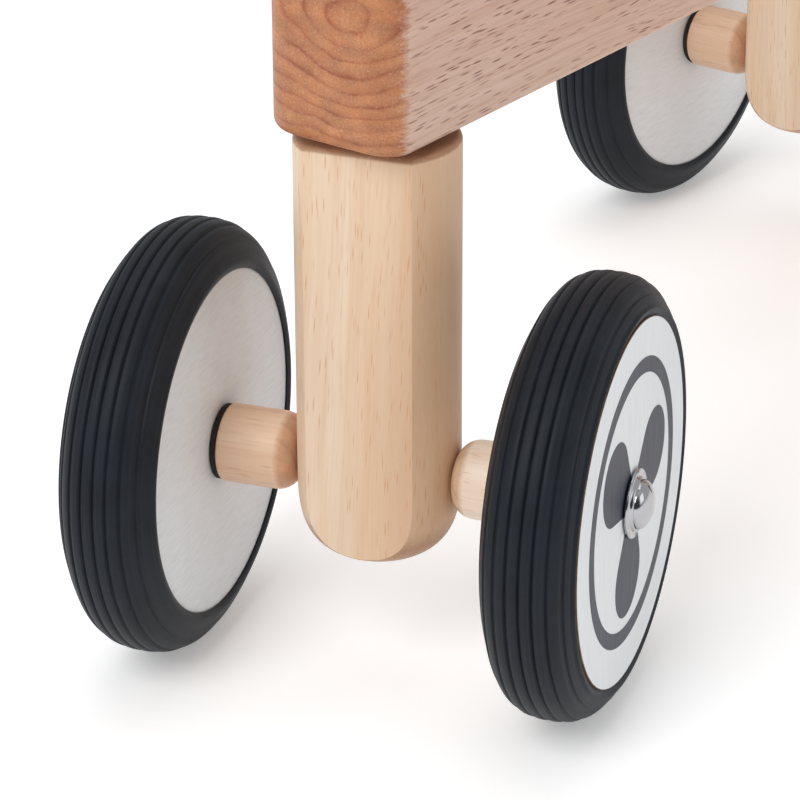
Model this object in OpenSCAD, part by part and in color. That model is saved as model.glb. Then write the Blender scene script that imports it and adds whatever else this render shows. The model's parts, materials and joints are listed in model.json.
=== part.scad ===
// Toddler's four-wheeled wooden balance bike.
// +Z is up, -Y is forward and +X is the rider's left. The origin is on the ground, under the
// middle of the outline. The steering unit is drawn turned to the left by steer_angle.
// All lengths are in millimetres.

/* [Wheels] */
// Outside diameter of the tyres
tyre_d = 125; // [115:1:135]
// Greatest width of a tyre
tyre_w = 29.1; // [28:0.1:31]
// Diameter of the plywood wheel disc at its outer face
disc_d = 103.5; // [98:0.5:106]
// Thickness of the wheel disc
disc_t = 26.2; // [24:0.1:27]
// Distance between the tread grooves
groove_pitch = 3.6; // [3.2:0.1:3.9]
// Depth of the tread grooves
groove_depth = 0.6; // [0.3:0.1:1]
// Diameter of the steel axles
axle_d = 8; // [6:1:10]
// Outside diameter of the bush in each wheel
hub_bush_d = 14; // [12:1:18]

/* [Layout] */
// Distance between the front and rear axles
wheelbase = 358.5; // [330:0.5:400]
// Distance between the middles of the front wheels
front_track = 120.8; // [115:0.1:130]
// Distance between the middles of the rear wheels
rear_track = 269.2; // [260:0.1:290]
// Distance between the axes of the two rear legs
leg_spacing = 148.2; // [140:0.1:150]
// Angle that the steering unit is turned to the left
steer_angle = 17; // [0:1:30]
// Largest steering angle to each side of straight ahead
steer_limit = 35; // [31:1:45]

/* [Posts] */
// Diameter of the front post, the rear legs and the handlebar head
post_d = 46; // [44:0.2:50]
// Distance from a post's axis to its front flat
flat_y = 16.9; // [15:0.1:20]
// Height of the front post's top above the axle
post_top = 99.2; // [90:0.2:110]
// Depth of a post's round end, measured below the axle
post_end = 25.2; // [24:0.1:30]
// Edge radius at the plain end of a post
post_edge = 2; // [1:0.1:4]

/* [Spacers] */
// Diameter of the wooden spacers on the axles
spacer_d = 22.4; // [20:0.2:25]
// Radius of the edge of a spacer beside its post
spacer_edge = 6.2; // [4:0.1:7]
// Thickness of the washer between a spacer and its wheel
washer_t = 1.8; // [1:0.1:2.5]
// Diameter of the flange of an axle cap
cap_d = 19.8; // [17:0.2:22]
// Diameter of the dome of an axle cap
cap_dome_d = 14.2; // [12:0.2:15]
// Height of an axle cap
cap_h = 5.8; // [5:0.1:7]

/* [Beam] */
// Width of the main beam
beam_w = 43.6; // [40:0.2:46]
// Height of the main beam and of the rear crosspiece
beam_h = 60; // [50:1:70]
// Distance that the beam reaches in front of the steering axis
beam_nose = 25; // [20:0.1:26]
// Radius of the long edges of the beam and the crosspiece
beam_edge = 3.2; // [2:0.2:8]
// Radius of the level edges at the beam's front
nose_edge = 7.4; // [4:0.2:9]
// Radius of the upright edges at the beam's front
nose_corner = 12; // [6:0.5:14]
// Gap between the beam and the posts that turn above and below it
turn_gap = 2.2; // [2:0.1:3]

/* [Seat] */
// Length of the seat
seat_len = 205; // [180:1:220]
// Width of the seat at the back
seat_w = 142; // [120:1:160]
// Width of the seat at its nose
seat_nose_w = 64; // [50:1:80]
// Thickness of the wooden seat board
seat_board_t = 14; // [12:1:18]
// Thickness of the seat pad at its middle
seat_pad_t = 24; // [18:1:30]
// Distance that the seat reaches behind the rear axle
seat_tail = 20; // [10:1:30]

/* [Handlebar] */
// Height of the handlebar above the ground
bar_z = 352; // [340:1:370]
// Length of the handlebar with its grips
bar_len = 284; // [260:2:320]
// Diameter of the handlebar beside the head
bar_d = 22; // [20:0.5:24]
// Length of a grip
grip_len = 84; // [75:1:95]
// Diameter of a grip
grip_d = 28; // [26:0.5:32]

/* [Hidden] */
$fn = 96;

// Wood and metal colours
rubberwood = [0.88, 0.76, 0.62];
spacer_wood = [0.84, 0.68, 0.52];
beam_wood = [0.79, 0.60, 0.47];
rubber = [0.13, 0.14, 0.16];
steel = [0.75, 0.75, 0.77];
paint = [0.86, 0.86, 0.86];
nylon = [0.90, 0.89, 0.85];
pad_cover = [0.20, 0.21, 0.23];

// Wheels: the tyre is a superellipse from its widest circle out to the tread
tyre_r = tyre_d / 2;
sidewall_r = 45;
crown_power = 2.6;
groove_count = 7;
groove_half = 0.55;
tread_points = 168;
bead_drop = 0.45;
bead_round = 3;
disc_r = disc_d / 2;
disc_bevel = 1.95;
axle_r = axle_d / 2;
running = 0.05;
washer_gap = 0.15;
cap_gap = 0.3;
cap_flange_t = 1.2;
cap_edge = 0.3;
cap_neck = 2;
cap_neck_w = 0.6;
cap_bore = 3.4;
axle_reach = 3.6;
washer_inset = 0.4;
hub_bush_r = hub_bush_d / 2;

// Heights above the ground
axle_z = tyre_r;
post_top_z = axle_z + post_top;
beam_z = post_top_z + turn_gap;
beam_top_z = beam_z + beam_h;
head_z = beam_top_z + turn_gap;
seat_z = beam_top_z + seat_board_t;

// Places along the bike: the origin is midway between the front-most tread and the back tyre
front_reach = max([for (p = tread_outline())
    (front_track / 2 + p[0]) * sin(steer_angle) + p[1] * cos(steer_angle)]);
steer_y = front_reach - (front_reach + wheelbase + tyre_r) / 2;
rear_y = steer_y + wheelbase;
post_r = post_d / 2;
spacer_r = spacer_d / 2;
leg_x = leg_spacing / 2;
spacer_gap = 0.1;
post_face_x = post_r + spacer_gap;
leg_face_x = leg_x + post_face_x;
stretcher_gap = 0.2;
beam_front_y = steer_y - beam_nose;
beam_back_y = rear_y - post_r;

// Posts
dome_h = 26;
dome_power = 3.2;
pin_r = 2.5;
pin_set = 0.6;
pin_reach = 8;
head_h = bar_z - head_z + dome_h;

// Steering
stem_r = 6;
stem_sink = 44;
stem_rise = 56;
bush_r = 9;
bush_len = 18;
bush_flange_r = 12.5;
bush_flange_t = 2;
stop_r = 2;
stop_ring_r = 16.5;
stop_reach = 6;
stop_seat = 12;
groove_clear = 0.3;
stem_pin_low_z = post_top_z - 26;
stem_pin_high_z = head_z + 26;

// Handlebar
bar_r = bar_d / 2;
bar_core_r = bar_r + 1;
bar_tip_r = bar_r - 1.5;
bar_core_gap = 0.6;
grip_r = grip_d / 2;
grip_wall_end = 3;
grip_collar_r = grip_r + 3;
grip_collar_w = 5;
grip_rib_count = 9;
grip_rib_pitch = 6.5;
grip_rib_h = 0.8;
grip_rib_start = 3;
grip_edge = 1;
grip_end_r = 5;
grip_x = bar_len / 2 - grip_len;
screw_r = 2.2;
screw_head_r = 4.2;
screw_head_t = 3;
screw_set = 1;
screw_reach = 4;

// Joinery at the back of the beam
joint_bolt_r = 3;
joint_bolt_head_r = 7.5;
joint_bolt_head_t = 3;
joint_bolt_len = 88;
hex_r = 2.3;
hex_depth = 2.2;
joint_bolt_zs = [beam_z + 16, beam_z + beam_h - 16];
barrel_r = 5;
barrel_len = 18;
barrel_y = beam_back_y - 30;
plug_len = beam_w / 2 - barrel_len / 2;
dowel_r = 4;
dowel_len = 40;
dowel_x = 13;
tenon_r = 12.5;
tenon_h = 42;

// Seat
seat_back_y = rear_y + seat_tail;
seat_nose_y = seat_back_y - seat_len;
seat_points = 36;
nose_share = 0.17;
tail_share = 0.2;
tail_power = 2.6;
flare_start = 0.1;
flare_share = 0.6;
seat_bolt_ys = [seat_nose_y + 40, seat_nose_y + 105];
seat_bolt_r = 3;
seat_bolt_head_r = 6;
seat_bolt_head_t = 4;
seat_bolt_sink = 5;
seat_bolt_end = 3;
t_nut_r = 4;
t_nut_plate_r = 10;
t_nut_plate_t = 1.6;
pad_inset = 4;
pad_crown = 20;
pad_layers = 4;

// Points of the tread, from the inner side of the wheel to the outer side, as [x, radius]
function tread_outline() = [for (i = [0:tread_points])
    let (t = 180 - 180 * i / tread_points,
         x = tyre_w / 2 * sign(cos(t)) * pow(abs(cos(t)), 2 / crown_power),
         r = sidewall_r + (tyre_r - sidewall_r) * pow(sin(t), 2 / crown_power))
    if (r > disc_r + bead_round) [x, r - groove_at(x)]];

// Depth of the tread at a distance x from the tyre's middle plane
function groove_at(x) =
    let (nearest = round(x / groove_pitch),
         off = abs(x - nearest * groove_pitch))
    abs(nearest) > (groove_count - 1) / 2 || off > groove_half ? 0
        : groove_depth * (1 - off / groove_half);

// A solid of revolution about the X axis, drawn as [x, radius]
module turned_x(points) {
    rotate([0, 90, 0])
        rotate_extrude()
            polygon([for (p = points) [p[1], p[0]]]);
}

module rod_x(r, x0, x1) {
    translate([x0, 0, 0])
        rotate([0, 90, 0])
            cylinder(r = r, h = x1 - x0);
}

// Puts the steering unit on its axis, turned to its rest angle
module on_steering() {
    translate([0, steer_y, 0])
        rotate([0, 0, steer_angle])
            children();
}

module on_front_axle() {
    on_steering()
        translate([0, 0, axle_z])
            children();
}

module on_rear_axle() {
    translate([0, rear_y, axle_z])
        children();
}

// A rectangle with round corners, from corner a to corner b
module round_rect(a, b, r) {
    translate([a[0] + r, a[1]])
        square([b[0] - a[0] - 2 * r, b[1] - a[1]]);
    translate([a[0], a[1] + r])
        square([b[0] - a[0], b[1] - a[1] - 2 * r]);
    for (x = [a[0] + r, b[0] - r], y = [a[1] + r, b[1] - r])
        translate([x, y])
            circle(r = r);
}

// ---- Posts ----

// Half outline of a post's shaft, from the top of its round end to its plain end at z = top
module shaft_section(top, end) {
    start = dome_h - end;
    translate([0, start])
        square([post_r - post_edge, top - start]);
    translate([0, start])
        square([post_r, top - start - post_edge]);
    translate([post_r - post_edge, top - post_edge])
        circle(r = post_edge);
}

// Half outline of the round end: a quarter of a squared-off ellipse, with a strip that laps the shaft
module dome_section() {
    steps = 16;
    polygon(concat([[0, post_edge], [post_r, post_edge]], [for (i = [0:steps])
        let (t = 90 * i / steps)
        [post_r * pow(cos(t), 2 / dome_power), -dome_h * pow(sin(t), 2 / dome_power)]]));
}

// A turned post with one flat at its front; the axle's height is z = 0
module post(top, end) {
    intersection() {
        union() {
            rotate_extrude()
                shaft_section(top, end);
            translate([0, 0, dome_h - end])
                rotate_extrude()
                    dome_section();
        }
        rotate([90, 0, 90])
            linear_extrude(height = post_d + 2, center = true)
                flat_section(top, end);
    }
}

// Side view of a post: the flat at the front, with a rounded edge at the plain end
module flat_section(top, end) {
    translate([-flat_y, -end - 1])
        square([flat_y + post_d, top + end + 1 - post_edge]);
    translate([-flat_y + post_edge, -end - 1])
        square([flat_y + post_d, top + end + 1]);
    translate([-flat_y + post_edge, top - post_edge])
        circle(r = post_edge);
}

module front_post() {
    color(rubberwood)
        on_front_axle()
            difference() {
                post(post_top, post_end);
                rod_x(axle_r, -post_d, post_d);
                translate([0, 0, post_top - stem_sink])
                    cylinder(r = stem_r, h = stem_sink + 1);
                stem_pin_at(stem_pin_low_z - axle_z, 1);
                translate([0, 0, post_top - stop_reach - 1])
                    stop_groove();
            }
}

// The arc that the stop pin runs in, as wide each way as the steering turns
module stop_groove() {
    r = stop_r + groove_clear;
    sweep = 2 * steer_limit;
    from = 90 - steer_limit;
    rotate([0, 0, from])
        rotate_extrude(angle = sweep)
            translate([stop_ring_r - r, 0])
                square([2 * r, stop_reach + 2]);
    for (a = [from, from + sweep])
        rotate([0, 0, a])
            translate([stop_ring_r, 0, 0])
                cylinder(r = r, h = stop_reach + 2);
}

module rear_leg(side) {
    color(rubberwood)
        on_rear_axle()
            translate([side * leg_x, 0, 0]) {
                difference() {
                    union() {
                        post(beam_z - axle_z, post_end);
                        cylinder(r = tenon_r, h = beam_z - axle_z + tenon_h);
                    }
                    rod_x(axle_r, -post_d, post_d);
                }
            }
}

module handlebar_head() {
    color(rubberwood)
        on_steering()
            difference() {
                translate([0, 0, head_z + head_h])
                    mirror([0, 0, 1])
                        post(head_h, 0);
                translate([0, 0, bar_z])
                    rod_x(bar_core_r, -post_d, post_d);
                translate([0, 0, head_z - 1])
                    cylinder(r = stem_r, h = stem_rise + 1);
                stem_pin_at(stem_pin_high_z, 1);
                handlebar_screw_shape(1);
            }
}

// ---- Frame ----

module main_beam() {
    color(beam_wood)
        difference() {
            beam_blank();
            translate([0, steer_y, beam_z - 1])
                cylinder(r = stem_r + 1, h = beam_h + 2);
            for (z = [beam_z - 1, beam_top_z - bush_len])
                translate([0, steer_y, z])
                    cylinder(r = bush_r, h = bush_len + 1);
            translate([0, steer_y + stop_ring_r, beam_z - 1])
                cylinder(r = stop_r, h = stop_seat + 1);
            for (z = joint_bolt_zs) {
                joint_bolt_shaft(z);
                translate([0, barrel_y, z])
                    rod_x(barrel_r, -beam_w / 2 - 1, barrel_len / 2);
            }
            dowel_pair();
            for (y = seat_bolt_ys) {
                translate([0, y, beam_z - 1])
                    cylinder(r = seat_bolt_r, h = beam_h + 2);
                translate([0, y, beam_z - 1])
                    cylinder(r = seat_bolt_head_r + 1, h = seat_bolt_sink + 1);
            }
        }
}

// The beam with rounded edges, except where it meets the crosspiece
module beam_blank() {
    w = beam_w / 2;
    intersection() {
        translate([0, beam_back_y, 0])
            rotate([90, 0, 0])
                linear_extrude(height = beam_back_y - beam_front_y)
                    round_rect([-w, beam_z], [w, beam_top_z], beam_edge);
        rotate([90, 0, 90])
            linear_extrude(height = beam_w + 2, center = true)
                round_rect([beam_front_y, beam_z], [beam_back_y + nose_edge, beam_top_z], nose_edge);
        translate([0, 0, beam_z - 1])
            linear_extrude(height = beam_h + 2)
                round_rect([-w, beam_front_y], [w, beam_back_y + nose_corner], nose_corner);
    }
}

module rear_crosspiece() {
    color(beam_wood)
        difference() {
            crosspiece_blank();
            for (x = [-leg_x, leg_x])
                translate([x, rear_y, beam_z - 1])
                    cylinder(r = tenon_r, h = tenon_h + 1);
            for (z = joint_bolt_zs) {
                joint_bolt_shaft(z);
                joint_bolt_head(z);
            }
            dowel_pair();
        }
}

// A bar with rounded edges and half-round ends that follow the legs
module crosspiece_blank() {
    r = post_r;
    translate([0, rear_y, 0]) {
        for (x = [-leg_x, leg_x])
            translate([x, 0, 0])
                rotate_extrude()
                    intersection() {
                        round_rect([-r, beam_z], [r, beam_top_z], beam_edge);
                        translate([0, beam_z - 1])
                            square([post_d, beam_h + 2]);
                    }
        rotate([90, 0, 90])
            linear_extrude(height = leg_spacing, center = true)
                round_rect([-r, beam_z], [r, beam_top_z], beam_edge);
    }
}

module rear_stretcher() {
    half = leg_x - post_r - stretcher_gap;
    color(spacer_wood)
        on_rear_axle()
            difference() {
                rod_x(spacer_r, -half, half);
                rod_x(axle_r, -leg_x, leg_x);
            }
}

// ---- Joinery ----

module joint_bolt_shaft(z) {
    translate([0, rear_y + post_r - joint_bolt_head_t, z])
        rotate([90, 0, 0])
            cylinder(r = joint_bolt_r, h = joint_bolt_len);
}

module joint_bolt_head(z) {
    translate([0, rear_y + post_r, z])
        rotate([90, 0, 0])
            cylinder(r = joint_bolt_head_r, h = joint_bolt_head_t);
}

module crosspiece_bolts() {
    color(steel)
        for (z = joint_bolt_zs)
            difference() {
                union() {
                    joint_bolt_shaft(z);
                    joint_bolt_head(z);
                }
                translate([0, rear_y + post_r + 1, z])
                    rotate([90, 0, 0])
                        cylinder(r = hex_r, h = hex_depth + 1, $fn = 6);
            }
}

module barrel_nuts() {
    color(steel)
        for (z = joint_bolt_zs)
            difference() {
                translate([0, barrel_y, z])
                    rod_x(barrel_r, -barrel_len / 2, barrel_len / 2);
                joint_bolt_shaft(z);
            }
}

module barrel_nut_plugs() {
    color(rubberwood)
        for (z = joint_bolt_zs)
            translate([0, barrel_y, z])
                rod_x(barrel_r, -beam_w / 2, -beam_w / 2 + plug_len);
}

module dowel_pair() {
    for (x = [-dowel_x, dowel_x])
        translate([x, beam_back_y + dowel_len / 2, beam_z + beam_h / 2])
            rotate([90, 0, 0])
                cylinder(r = dowel_r, h = dowel_len);
}

module locating_dowels() {
    color(spacer_wood)
        dowel_pair();
}

// ---- Seat ----

// Half-width of the seat at a fraction s of its length behind the nose
function seat_half(s) =
    let (k = min(max((s - flare_start) / flare_share, 0), 1),
         flare = k * k * (3 - 2 * k),
         nose = s < nose_share ? sqrt(1 - pow(1 - s / nose_share, 2)) : 1,
         t = max((s - 1 + tail_share) / tail_share, 0),
         tail = pow(1 - pow(t, tail_power), 1 / tail_power))
    (seat_nose_w / 2 + (seat_w - seat_nose_w) / 2 * flare) * nose * tail;

// Plan of the seat: a round nose that flares to a broad back
module seat_plan(inset) {
    len = seat_len - 2 * inset;
    shrink = 1 - 2 * inset / seat_w;
    side = [for (i = [0:seat_points])
        let (s = (1 - cos(180 * i / seat_points)) / 2)
        [shrink * seat_half(s), seat_nose_y + inset + len * s]];
    polygon(concat(side, [for (i = [seat_points - 1:-1:1]) [-side[i][0], side[i][1]]]));
}

module seat_board() {
    color(rubberwood)
        difference() {
            translate([0, 0, beam_top_z])
                linear_extrude(height = seat_board_t)
                    seat_plan(0);
            for (y = seat_bolt_ys)
                t_nut_shape(y);
        }
}

// A pad that curves in towards its top, layer by layer
module seat_pad() {
    color(pad_cover)
        for (i = [0:pad_layers - 1]) {
            t0 = i / pad_layers;
            t1 = (i + 1) / pad_layers;
            inset = pad_inset + pad_crown * (1 - sqrt(1 - t0 * t0));
            translate([0, 0, seat_z + seat_pad_t * t0])
                linear_extrude(height = seat_pad_t * (t1 - t0))
                    seat_plan(inset);
        }
}

module t_nut_shape(y) {
    translate([0, y, beam_top_z])
        cylinder(r = t_nut_r, h = seat_board_t);
    translate([0, y, seat_z - t_nut_plate_t])
        cylinder(r = t_nut_plate_r, h = t_nut_plate_t);
}

module seat_bolt_shaft(y) {
    translate([0, y, beam_z + seat_bolt_sink])
        cylinder(r = seat_bolt_r, h = beam_h - seat_bolt_sink + seat_board_t - seat_bolt_end);
}

module seat_t_nuts() {
    color(steel)
        for (y = seat_bolt_ys)
            difference() {
                t_nut_shape(y);
                seat_bolt_shaft(y);
            }
}

module seat_bolts() {
    color(steel)
        for (y = seat_bolt_ys)
            difference() {
                union() {
                    seat_bolt_shaft(y);
                    translate([0, y, beam_z + seat_bolt_sink - seat_bolt_head_t])
                        cylinder(r = seat_bolt_head_r, h = seat_bolt_head_t);
                }
                translate([0, y, beam_z + seat_bolt_sink - seat_bolt_head_t - 1])
                    cylinder(r = hex_r, h = hex_depth + 1, $fn = 6);
            }
}

// ---- Steering ----

// A flanged bush: up = 1 puts the flange at the top
module steering_bush(z, up) {
    color(nylon)
        translate([0, steer_y, z])
            mirror([0, 0, up > 0 ? 0 : 1])
                difference() {
                    union() {
                        translate([0, 0, -bush_len])
                            cylinder(r = bush_r, h = bush_len);
                        cylinder(r = bush_flange_r, h = bush_flange_t);
                    }
                    translate([0, 0, -bush_len - 1])
                        cylinder(r = stem_r + running, h = bush_len + bush_flange_t + 2);
                }
}

module steering_stop_pin() {
    color(steel)
        translate([0, steer_y + stop_ring_r, beam_z - turn_gap - stop_reach])
            cylinder(r = stop_r, h = turn_gap + stop_reach + stop_seat);
}

module steering_stem() {
    color(steel)
        on_steering()
            difference() {
                translate([0, 0, post_top_z - stem_sink])
                    cylinder(r = stem_r, h = head_z + stem_rise - post_top_z + stem_sink);
                for (z = [stem_pin_low_z, stem_pin_high_z])
                    stem_pin_at(z, 0);
            }
}

// A cross pin driven in from the back of a post, through the stem
module stem_pin_at(z, extra) {
    translate([0, post_r - pin_set + extra, z])
        rotate([90, 0, 0])
            cylinder(r = pin_r, h = post_r + pin_reach + extra);
}

module stem_pins() {
    color(steel)
        on_steering()
            for (z = [stem_pin_low_z, stem_pin_high_z])
                stem_pin_at(z, 0);
}

// ---- Handlebar ----

module handlebar() {
    core = post_r - bar_core_gap;
    tip = bar_len / 2 - grip_wall_end;
    color(rubberwood)
        on_steering()
            difference() {
                translate([0, 0, bar_z])
                    union() {
                        rod_x(bar_core_r, -core, core);
                        rod_x(bar_r, -grip_x, grip_x);
                        rod_x(bar_tip_r, -tip, tip);
                    }
                handlebar_screw_shape(0);
            }
}

// A countersunk screw from the back of the head into the bar
module handlebar_screw_shape(extra) {
    translate([0, post_r - screw_set, bar_z])
        rotate([90, 0, 0]) {
            cylinder(r = screw_r, h = post_r + screw_reach);
            cylinder(r1 = screw_head_r, r2 = screw_r, h = screw_head_t);
            if (extra > 0)
                translate([0, 0, -extra])
                    cylinder(r = screw_head_r, h = extra);
        }
}

module handlebar_screw() {
    color(steel)
        on_steering()
            handlebar_screw_shape(0);
}

module grip(side) {
    x1 = bar_len / 2;
    color(rubber)
        on_steering()
            translate([0, 0, bar_z])
                mirror([side < 0 ? 1 : 0, 0, 0])
                    difference() {
                        turned_x(grip_outline(grip_x, x1));
                        rod_x(bar_tip_r, grip_x - 1, x1 - grip_wall_end);
                    }
}

// Outline of a grip: a collar, a ribbed sleeve and a rounded end
function grip_outline(x0, x1) = concat(
    [[x0, 0], [x0, grip_collar_r - grip_edge], [x0 + grip_edge, grip_collar_r],
     [x0 + grip_collar_w - grip_edge, grip_collar_r],
     [x0 + grip_collar_w, grip_collar_r - grip_edge],
     [x0 + grip_collar_w, grip_r - grip_rib_h]],
    [for (i = [0:grip_rib_count - 1], e = [[0, 0], [0.15, 1], [0.65, 1], [0.8, 0]])
        [x0 + grip_collar_w + grip_rib_start + (i + e[0]) * grip_rib_pitch,
         grip_r - grip_rib_h * (1 - e[1])]],
    [for (a = [90:-15:0])
        [x1 - grip_end_r * (1 - cos(a)), grip_r - grip_rib_h - grip_end_r * (1 - sin(a))]],
    [[x1, 0]]);

// ---- Axles ----

module axle(track) {
    reach = track / 2 + disc_t / 2 + axle_reach;
    color(steel)
        rod_x(axle_r, -reach, reach);
}

// A wooden spacer from the post at x0 to the washer
module spacer(side, x0, track) {
    x1 = track / 2 - disc_t / 2 - washer_gap - washer_t;
    color(spacer_wood)
        mirror([side < 0 ? 1 : 0, 0, 0])
            difference() {
                translate([x0, 0, 0])
                    rotate([0, 90, 0])
                        rotate_extrude()
                            spacer_section(x1 - x0);
                rod_x(axle_r, x0 - 1, x1 + 1);
            }
}

// Half outline of a spacer, with the round edge at y = 0
module spacer_section(len) {
    square([spacer_r - spacer_edge, len]);
    translate([0, spacer_edge])
        square([spacer_r, len - spacer_edge]);
    intersection() {
        translate([spacer_r - spacer_edge, spacer_edge])
            circle(r = spacer_edge);
        square([spacer_r, 2 * spacer_edge]);
    }
}

module washer(side, track) {
    x1 = track / 2 - disc_t / 2 - washer_gap;
    color(rubber)
        mirror([side < 0 ? 1 : 0, 0, 0])
            difference() {
                rod_x(spacer_r - washer_inset, x1 - washer_t, x1);
                rod_x(axle_r, x1 - washer_t - 1, x1 + 1);
            }
}

// A push-on cap: a flange, a short neck and a hollow dome over the axle's end
module axle_cap(side, track) {
    x0 = track / 2 + disc_t / 2 + cap_gap;
    dome_r = cap_dome_d / 2;
    neck = x0 + cap_neck;
    color(steel)
        mirror([side < 0 ? 1 : 0, 0, 0])
            difference() {
                turned_x(concat(
                    [[x0, 0], [x0, cap_d / 2 - cap_edge], [x0 + cap_edge, cap_d / 2],
                     [x0 + cap_flange_t - cap_edge, cap_d / 2],
                     [x0 + cap_flange_t, cap_d / 2 - cap_edge],
                     [x0 + cap_flange_t, dome_r + cap_neck_w],
                     [x0 + cap_flange_t + cap_neck_w, dome_r]],
                    [for (a = [0:7.5:90])
                        [neck + (cap_h - cap_neck) * sin(a), dome_r * cos(a)]]));
                rod_x(axle_r, x0 - 1, x0 + cap_bore);
            }
}

// ---- Wheels ----

// The outline of the tyre on the disc, from the inner side to the outer side
module tyre() {
    half = disc_t / 2;
    color(rubber)
        turned_x(concat(
            [[-half + disc_bevel, disc_r], [-half, disc_r - disc_bevel],
             [-half - bead_drop, disc_r - disc_bevel], [-half - 2 * bead_drop, disc_r]],
            tread_outline(),
            [[half + bead_drop, disc_r + 0.6 * bead_round], [half - bead_drop, disc_r]]));
}

// A plywood disc, bevelled at the edge of its inner face
module disc() {
    half = disc_t / 2;
    color(paint)
        difference() {
            turned_x([[-half, 0], [-half, disc_r - disc_bevel], [-half + disc_bevel, disc_r],
                      [half, disc_r], [half, 0]]);
            rod_x(hub_bush_r, -half - 1, half + 1);
        }
}

module hub_bush() {
    half = disc_t / 2;
    color(nylon)
        difference() {
            rod_x(hub_bush_r, -half, half);
            rod_x(axle_r + running, -half - 1, half + 1);
        }
}

// Places a wheel part at its side, with its outer face away from the bike
module at_side(side, track) {
    mirror([side < 0 ? 1 : 0, 0, 0])
        translate([track / 2, 0, 0])
            children();
}

module front_wheel(side) {
    on_front_axle()
        at_side(side, front_track)
            children();
}

module rear_wheel(side) {
    on_rear_axle()
        at_side(side, rear_track)
            children();
}

main_beam();
rear_crosspiece();
rear_leg(1);  // rear_leg_left
rear_leg(-1);  // rear_leg_right
rear_stretcher();
seat_board();
seat_pad();
seat_bolts();
seat_t_nuts();
crosspiece_bolts();
barrel_nuts();
barrel_nut_plugs();
locating_dowels();
steering_bush(beam_z, -1);  // lower_steering_bush
steering_bush(beam_top_z, 1);  // upper_steering_bush
steering_stop_pin();
on_rear_axle() axle(rear_track);  // rear_axle
on_rear_axle() spacer(1, leg_face_x, rear_track);  // rear_spacer_left
on_rear_axle() spacer(-1, leg_face_x, rear_track);  // rear_spacer_right
on_rear_axle() washer(1, rear_track);  // rear_washer_left
on_rear_axle() washer(-1, rear_track);  // rear_washer_right
on_rear_axle() axle_cap(1, rear_track);  // rear_axle_cap_left
on_rear_axle() axle_cap(-1, rear_track);  // rear_axle_cap_right
front_post();
steering_stem();
stem_pins();
handlebar_head();
handlebar();
handlebar_screw();
grip(1);  // grip_left
grip(-1);  // grip_right
on_front_axle() axle(front_track);  // front_axle
on_front_axle() spacer(1, post_face_x, front_track);  // front_spacer_left
on_front_axle() spacer(-1, post_face_x, front_track);  // front_spacer_right
on_front_axle() washer(1, front_track);  // front_washer_left
on_front_axle() washer(-1, front_track);  // front_washer_right
on_front_axle() axle_cap(1, front_track);  // front_axle_cap_left
on_front_axle() axle_cap(-1, front_track);  // front_axle_cap_right
front_wheel(1) disc();  // front_left_disc
front_wheel(1) tyre();  // front_left_tyre
front_wheel(1) hub_bush();  // front_left_hub_bush
front_wheel(-1) disc();  // front_right_disc
front_wheel(-1) tyre();  // front_right_tyre
front_wheel(-1) hub_bush();  // front_right_hub_bush
rear_wheel(1) disc();  // rear_left_disc
rear_wheel(1) tyre();  // rear_left_tyre
rear_wheel(1) hub_bush();  // rear_left_hub_bush
rear_wheel(-1) disc();  // rear_right_disc
rear_wheel(-1) tyre();  // rear_right_tyre
rear_wheel(-1) hub_bush();  // rear_right_hub_bush
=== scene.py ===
import json
import math

import bmesh
import bpy
from mathutils import Matrix, Vector, noise


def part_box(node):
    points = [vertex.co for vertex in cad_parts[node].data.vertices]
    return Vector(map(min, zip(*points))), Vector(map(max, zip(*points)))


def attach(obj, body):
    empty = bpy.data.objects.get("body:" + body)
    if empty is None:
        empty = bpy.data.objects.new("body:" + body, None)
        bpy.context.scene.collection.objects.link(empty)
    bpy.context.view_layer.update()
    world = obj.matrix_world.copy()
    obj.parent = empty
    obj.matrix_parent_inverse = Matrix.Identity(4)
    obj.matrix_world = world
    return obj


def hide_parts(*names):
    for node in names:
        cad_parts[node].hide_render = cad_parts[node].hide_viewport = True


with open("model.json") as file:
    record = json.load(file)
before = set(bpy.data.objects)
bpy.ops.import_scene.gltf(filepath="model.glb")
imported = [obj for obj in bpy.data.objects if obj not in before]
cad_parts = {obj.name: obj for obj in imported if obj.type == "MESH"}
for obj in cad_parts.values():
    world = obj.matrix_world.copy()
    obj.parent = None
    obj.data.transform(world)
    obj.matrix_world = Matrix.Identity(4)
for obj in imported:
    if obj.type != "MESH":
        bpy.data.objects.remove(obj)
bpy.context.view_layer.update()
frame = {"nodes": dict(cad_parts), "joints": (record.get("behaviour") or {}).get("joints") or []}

# A toddler's four-wheeled wooden balance bike. Lengths are in millimetres unless a name says otherwise.
# +Z is up, -Y is forward and +X is the rider's left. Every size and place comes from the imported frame.
MM = 0.001
TURNS = 128
SMOOTH_ANGLE = math.radians(32)
JOINTS = {j["name"]: j for j in frame["joints"]}
SIDES = {"left": 1, "right": -1}


# ---- Measures taken from the frame ----

def low(node):
    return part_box(node)[0] / MM


def high(node):
    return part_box(node)[1] / MM


def size(node):
    return high(node) - low(node)


def middle(node):
    return (high(node) + low(node)) / 2


steer_range = JOINTS["steering"]["range_deg"]
steer_angle = -math.radians(steer_range[0] + steer_range[1]) / 2
steer_limit = math.radians(steer_range[1] - steer_range[0]) / 2
steer_y = JOINTS["steering"]["pos_m"][1] / MM
axle_z = JOINTS["rear_left_spin"]["pos_m"][2] / MM
rear_y = JOINTS["rear_left_spin"]["pos_m"][1] / MM
front_half_track = (Vector(JOINTS["front_left_spin"]["pos_m"]) / MM - Vector((0, steer_y, axle_z))).length
rear_half_track = JOINTS["rear_left_spin"]["pos_m"][0] / MM

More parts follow.
